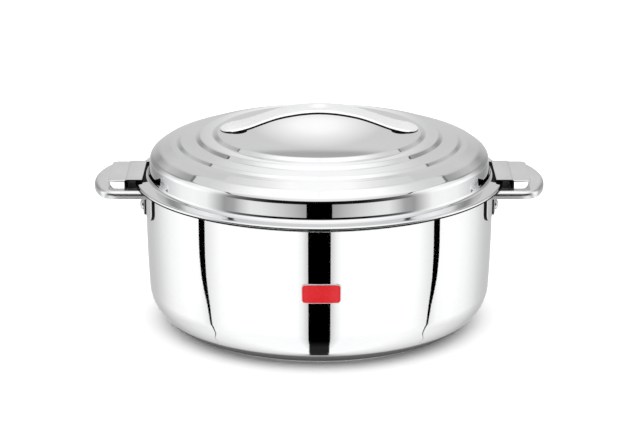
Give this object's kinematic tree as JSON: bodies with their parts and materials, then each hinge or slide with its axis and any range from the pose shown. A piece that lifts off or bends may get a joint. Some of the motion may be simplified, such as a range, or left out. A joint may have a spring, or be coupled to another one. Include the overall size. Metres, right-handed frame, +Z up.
{
  "type": "insulated casserole with a turn-to-lock lid",
  "caption": "Round double-wall steel food casserole with side loop handles and a stepped lid with a strap handle that locks by turning and lifts off.",
  "frame": {"origin": "middle of the base, on the surface that the pot stands on", "axes": "+Z up along the pot's axis, +X through the right side handle, the front with the name plate faces -Y"},
  "size_m": [0.301, 0.2468, 0.1458],
  "materials": {
    "polished_steel": "mirror-polished stainless steel with faint circular buffing marks",
    "bowl_steel": "satin stainless steel, brushed in rings",
    "handle_steel": "polished pressed stainless steel with soft wear",
    "fastener_steel": "tumbled stainless steel",
    "foam": "rigid closed-cell foam with a fine cell texture",
    "black_plastic": "moulded black plastic with a fine grain",
    "seal_rubber": "matt black silicone",
    "red_enamel": "glossy red plate with a thin pale edge"
  },
  "bodies": {
    "pot": {"outer_shell": "polished_steel", "inner_bowl": "bowl_steel", "body_insulation": "foam", "base_plug": "black_plastic", "lock_bracket_left": "handle_steel", "lock_bracket_right": "handle_steel", "handle_left": "handle_steel", "handle_right": "handle_steel", "handle_rivets": "fastener_steel", "backing_plate_left": "fastener_steel", "backing_plate_right": "fastener_steel", "badge": "red_enamel"},
    "seal": {"rim_seal": "seal_rubber"},
    "lid": {"lid_cover": "polished_steel", "lid_liner": "bowl_steel", "lid_insulation": "foam", "lid_plug": "black_plastic", "lid_handle": "handle_steel", "handle_studs": "fastener_steel", "stud_sleeves": "seal_rubber", "stud_washers": "fastener_steel", "stud_nuts": "fastener_steel"}
  },
  "joints": [
    {"name": "lid_turn", "type": "hinge", "parent": "pot", "child": "seal", "pos_m": [0, 0, 0.0984], "axis": [0, 0, 1], "range_deg": [-35, 35]},
    {"name": "lid_lift", "type": "slide", "parent": "seal", "child": "lid", "axis": [0, 0, 1], "range_m": [0, 0.08]}
  ]
}
